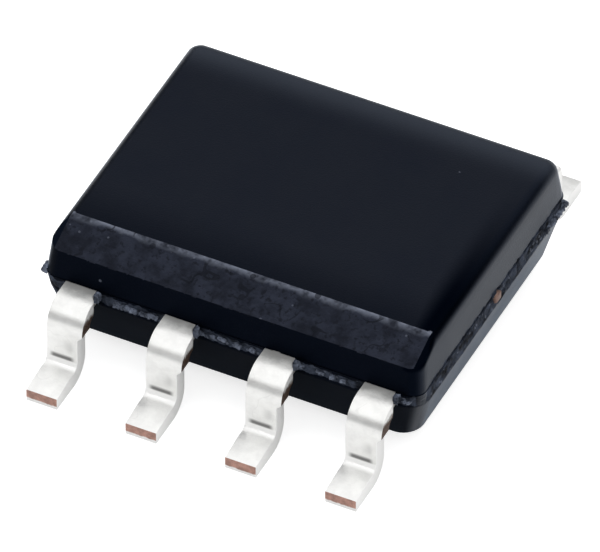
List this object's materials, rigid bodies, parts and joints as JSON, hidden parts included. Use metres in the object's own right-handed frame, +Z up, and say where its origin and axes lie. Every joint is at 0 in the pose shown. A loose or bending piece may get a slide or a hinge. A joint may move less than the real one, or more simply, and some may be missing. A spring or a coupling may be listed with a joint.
{
  "type": "voltage supervisor chip",
  "caption": "Small-outline surface-mount chip package: a black moulded body with a bevelled long side and two rows of gull-wing leads around a die on a leadframe.",
  "frame": {"origin": "centre of the package on the plane that the feet of the leads stand on", "axes": "+X along the rows of leads, from lead 1 to lead 4; +Y across the rows, from the bevelled side with leads 1 to 4 to the side with leads 5 to 8; +Z up"},
  "size_m": [0.0048, 0.006, 0.0015],
  "materials": {
    "mould_compound": "satin black moulding compound, rough on the bevel",
    "tinned_lead": "matte tin plate with bare copper at the cut ends",
    "leadframe_copper": "bare copper alloy strip",
    "die_adhesive": "silver-filled epoxy",
    "silicon": "polished silicon",
    "bond_wire": "bright gold wire"
  },
  "bodies": {
    "root": {"package_body": "mould_compound", "lead_1": "tinned_lead", "lead_2": "tinned_lead", "lead_3": "tinned_lead", "lead_4": "tinned_lead", "lead_5": "tinned_lead", "lead_6": "tinned_lead", "lead_7": "tinned_lead", "lead_8": "tinned_lead", "die_pad": "leadframe_copper", "die_attach": "die_adhesive", "die": "silicon", "bond_wire_1": "bond_wire", "bond_wire_2": "bond_wire", "bond_wire_3": "bond_wire", "bond_wire_4": "bond_wire", "bond_wire_5": "bond_wire", "bond_wire_6": "bond_wire", "bond_wire_7": "bond_wire", "bond_wire_8": "bond_wire"}
  },
  "joints": []
}
